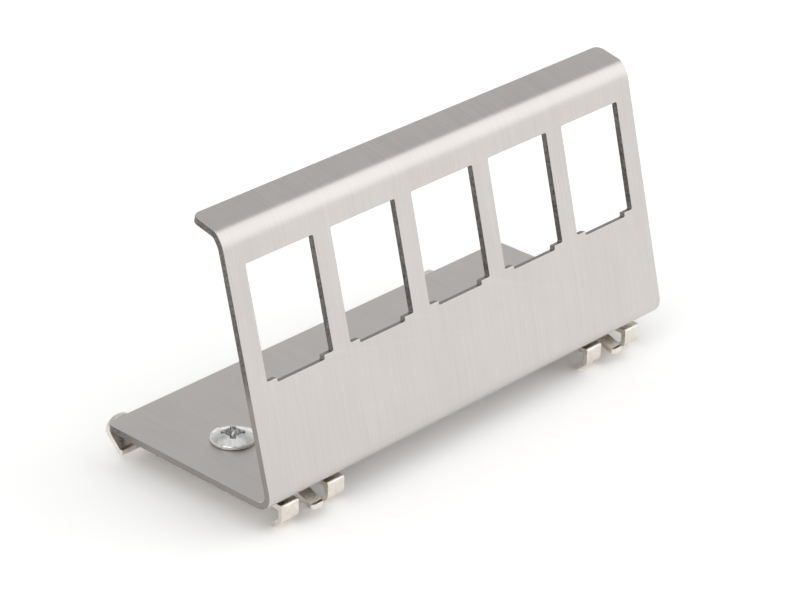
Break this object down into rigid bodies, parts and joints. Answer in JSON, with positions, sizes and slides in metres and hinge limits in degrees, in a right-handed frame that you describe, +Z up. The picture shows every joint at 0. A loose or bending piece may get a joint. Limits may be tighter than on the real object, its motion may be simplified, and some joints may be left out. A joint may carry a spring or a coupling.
{
  "type": "rail keystone holder",
  "caption": "Folded sheet holder that snaps onto a standard rail by sprung clips and takes keystone jacks in its leaned front plate.",
  "frame": {"origin": "mid-length of the holder, on the rail's centre line, in the plane of the rail's top face where the clips rest", "axes": "+X along the rail to the right seen from the front, -Y out of the front plate, +Z up off the rail's top face"},
  "size_m": [0.099, 0.0406, 0.0532],
  "materials": {
    "stainless_sheet": "stainless sheet with a fine straight grain",
    "clip_nickel": "nickel-plated spring steel, satin",
    "screw_zinc": "bright zinc plating"
  },
  "bodies": {
    "root": {"bracket": "stainless_sheet", "rail_clip_left": "clip_nickel", "rail_clip_right": "clip_nickel", "screw_left": "screw_zinc", "screw_right": "screw_zinc"}
  },
  "joints": []
}
